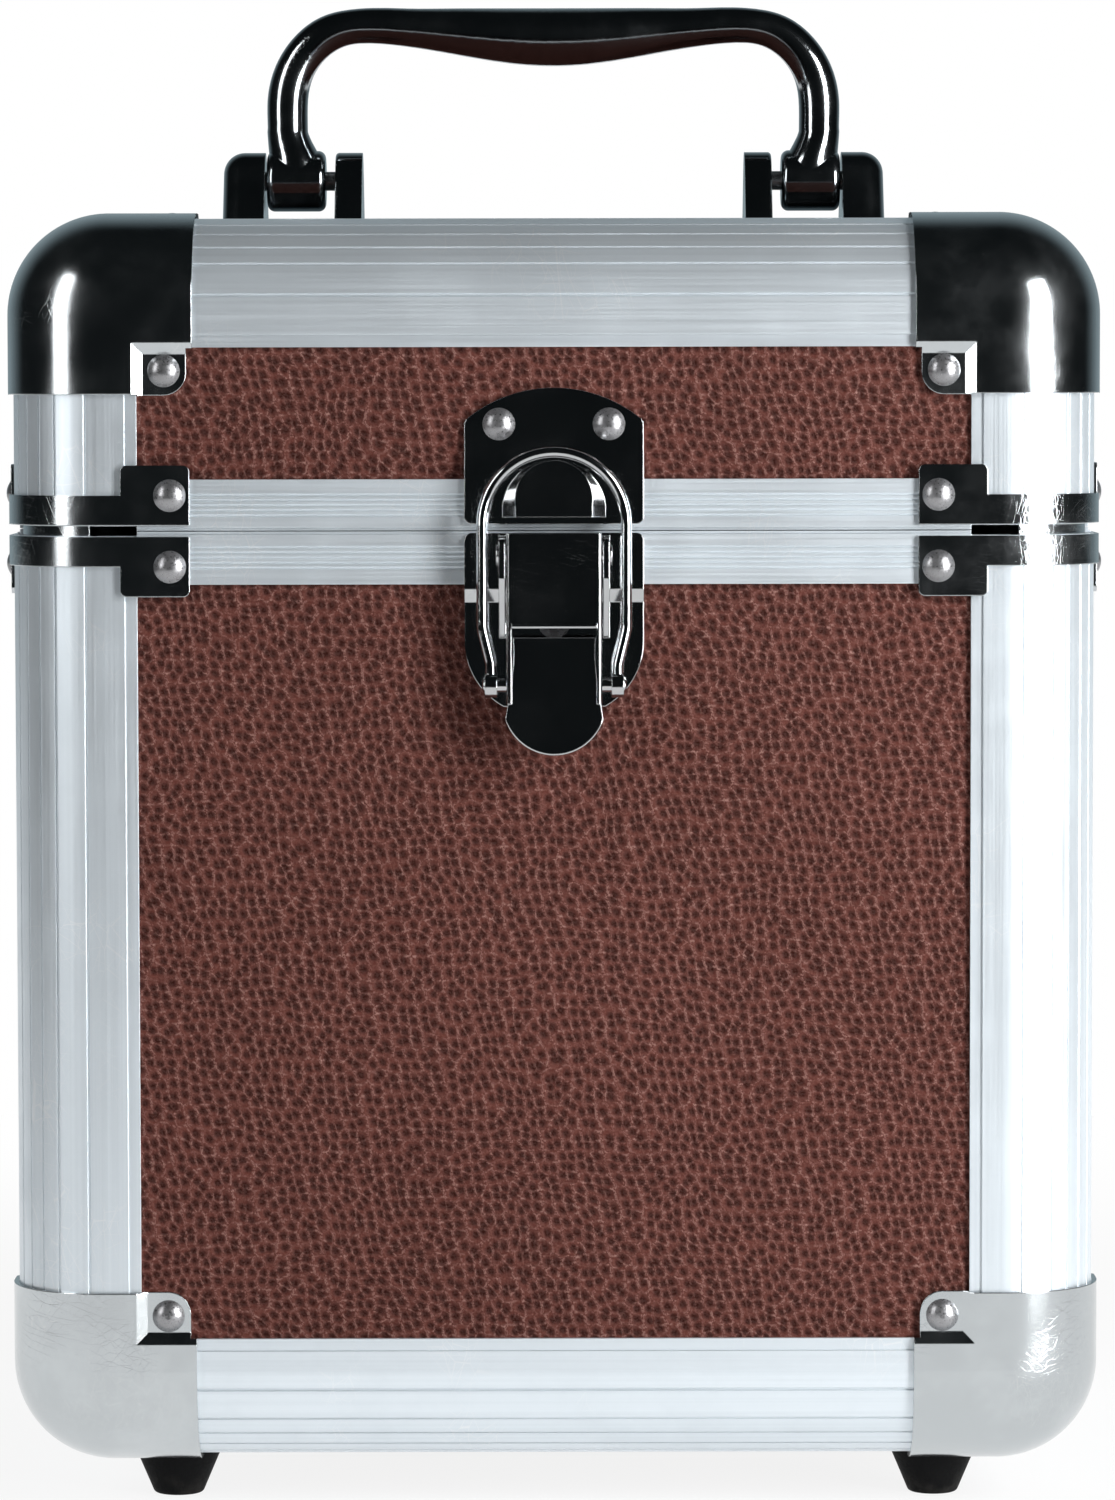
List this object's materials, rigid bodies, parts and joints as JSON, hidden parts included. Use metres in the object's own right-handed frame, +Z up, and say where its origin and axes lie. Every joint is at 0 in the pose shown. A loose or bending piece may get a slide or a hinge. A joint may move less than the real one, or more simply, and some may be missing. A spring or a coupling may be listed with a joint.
{
  "type": "flight case",
  "caption": "Small upright flight case with a hinged lid, leatherette panels in an aluminium frame, chrome corners, a toggle latch and a folding carry handle.",
  "frame": {"origin": "middle of the whole case at floor level, under the feet", "axes": "+Z up, the latch and the front face look along -Y, +X to the right seen from the front"},
  "size_m": [0.2204, 0.2194, 0.3039],
  "materials": {
    "leatherette": "pebbled, satin",
    "aluminium": "satin, fine lines along the section",
    "chrome": "mirror",
    "dark_chrome": "dark mirror",
    "steel": "satin",
    "rubber": "matte",
    "lining": "felted"
  },
  "bodies": {
    "base": {"base_front_panel": "leatherette", "base_back_panel": "leatherette", "base_left_panel": "leatherette", "base_right_panel": "leatherette", "base_bottom_panel": "leatherette", "base_posts": "aluminium", "bottom_edge_front": "aluminium", "bottom_edge_back": "aluminium", "bottom_edge_left": "aluminium", "bottom_edge_right": "aluminium", "base_rail_front": "aluminium", "base_rail_back": "aluminium", "base_rail_left": "aluminium", "base_rail_right": "aluminium", "bottom_cap_front_left": "chrome", "bottom_cap_front_right": "chrome", "bottom_cap_back_left": "chrome", "bottom_cap_back_right": "chrome", "base_seam_straps": "chrome", "base_rim_corners": "chrome", "base_rivets": "steel", "feet": "rubber", "foot_screws": "steel", "base_lining": "lining", "latch_plate": "chrome", "latch_plate_rivets": "steel", "latch_pivot_pin": "chrome", "hinge_lower_leaves": "chrome", "hinge_pins": "steel"},
    "lid": {"lid_top_panel": "leatherette", "lid_front_panel": "leatherette", "lid_back_panel": "leatherette", "lid_left_panel": "leatherette", "lid_right_panel": "leatherette", "lid_posts": "aluminium", "top_edge_front": "aluminium", "top_edge_back": "aluminium", "top_edge_left": "aluminium", "top_edge_right": "aluminium", "lid_rail_front": "aluminium", "lid_rail_back": "aluminium", "lid_rail_left": "aluminium", "lid_rail_right": "aluminium", "top_cap_front_left": "chrome", "top_cap_front_right": "chrome", "top_cap_back_left": "chrome", "top_cap_back_right": "chrome", "lid_seam_straps": "chrome", "lid_rivets": "steel", "lid_lining": "lining", "keeper_plate": "chrome", "hinge_upper_leaves": "chrome", "handle_brackets": "chrome", "handle_pins": "steel", "handle_screws": "steel"},
    "handle": {"carry_handle": "dark_chrome"},
    "lever": {"latch_lever": "chrome"},
    "bail": {"latch_bail": "chrome", "latch_cross_pin": "chrome"}
  },
  "joints": [
    {"name": "lid_hinge", "type": "hinge", "parent": "base", "child": "lid", "pos_m": [0, 0.10735, 0.1957], "axis": [-1, 0, 0], "range_deg": [0, 95]},
    {"name": "handle_fold", "type": "hinge", "parent": "lid", "child": "handle", "pos_m": [0, 0.00245, 0.2674], "axis": [1, 0, 0], "range_deg": [-90, 90]},
    {"name": "latch_lever_pivot", "type": "hinge", "parent": "base", "child": "lever", "pos_m": [0, -0.10655, 0.1911], "axis": [-1, 0, 0], "range_deg": [-5.5, 150]},
    {"name": "latch_bail_pivot", "type": "hinge", "parent": "lever", "child": "bail", "pos_m": [0, -0.1061, 0.1656], "axis": [-1, 0, 0], "range_deg": [-196, 14]}
  ],
  "couplings": [
    {"joint": "latch_bail_pivot", "follows": "latch_lever_pivot", "ratio": -1.25}
  ]
}
